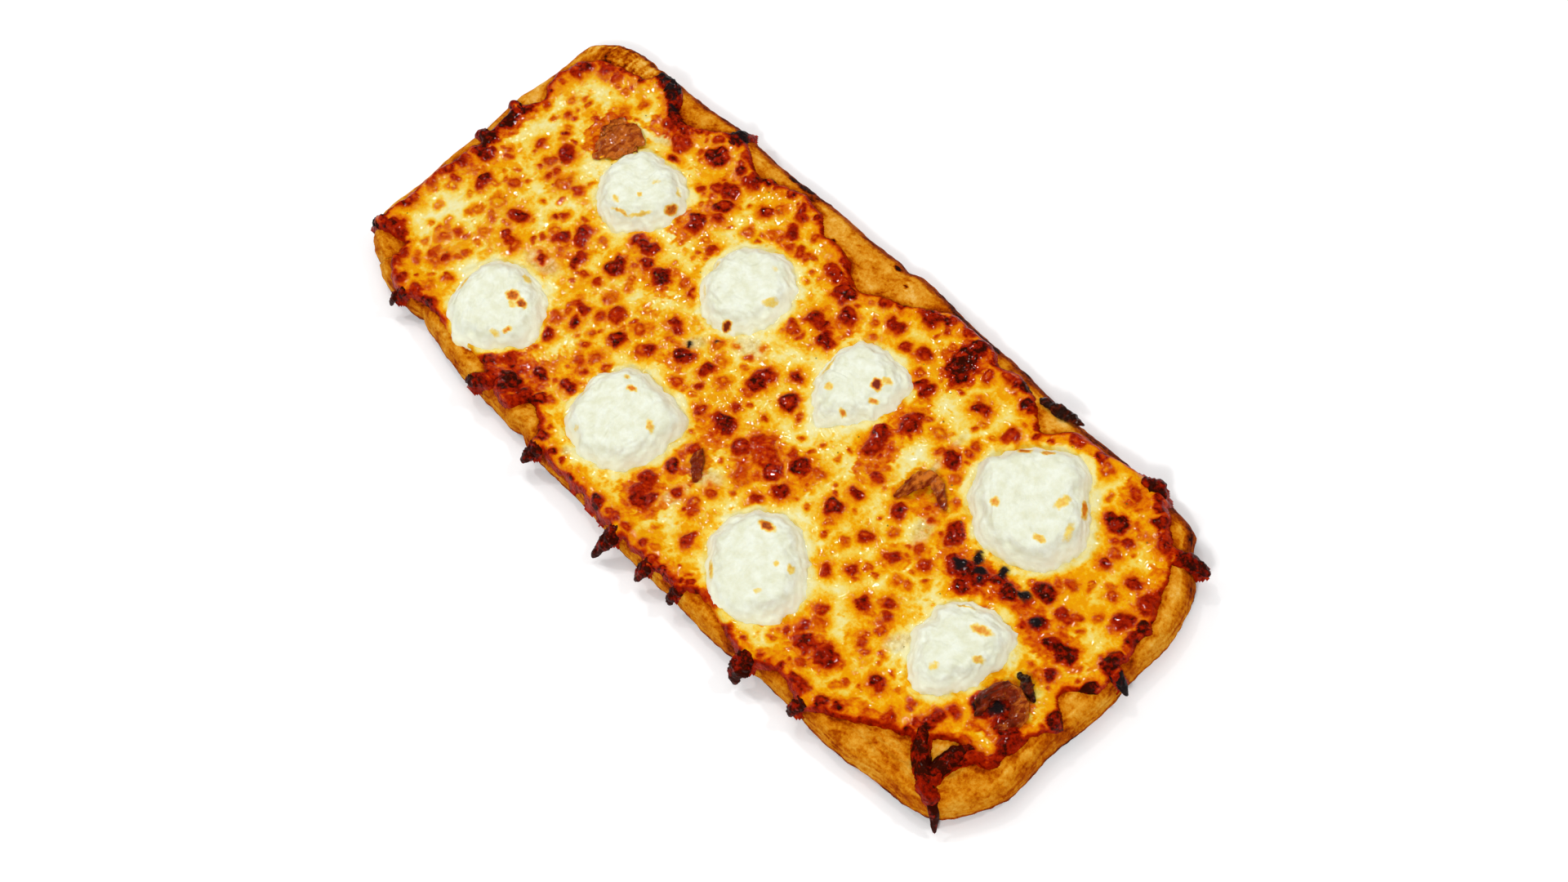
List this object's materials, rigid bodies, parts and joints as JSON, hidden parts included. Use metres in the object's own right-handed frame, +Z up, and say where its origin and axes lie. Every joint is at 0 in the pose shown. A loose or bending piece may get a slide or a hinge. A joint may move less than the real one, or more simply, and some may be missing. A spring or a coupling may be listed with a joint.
{
  "type": "white flatbread",
  "caption": "Baked rectangular flatbread with browned melted cheese, spoonfuls of ricotta and caramelised onion.",
  "frame": {"origin": "middle of the bread's bounding box, on its flat underside", "axes": "+X along the bread's long side, +Y across it to the long side with the wide bare band of crust, +Z up through the topping"},
  "size_m": [0.3098, 0.1446, 0.0208],
  "materials": {
    "crust": "dry baked dough",
    "cheese": "oily, browned",
    "ricotta": "moist, matt",
    "onion": "glossy, burnt"
  },
  "bodies": {
    "root": {"crust": "crust", "cheese": "cheese", "ricotta_1": "ricotta", "ricotta_2": "ricotta", "ricotta_3": "ricotta", "ricotta_4": "ricotta", "ricotta_5": "ricotta", "ricotta_6": "ricotta", "ricotta_7": "ricotta", "ricotta_8": "ricotta", "onion_1": "onion", "onion_2": "onion", "onion_3": "onion", "onion_4": "onion", "onion_5": "onion", "onion_6": "onion"}
  },
  "joints": []
}
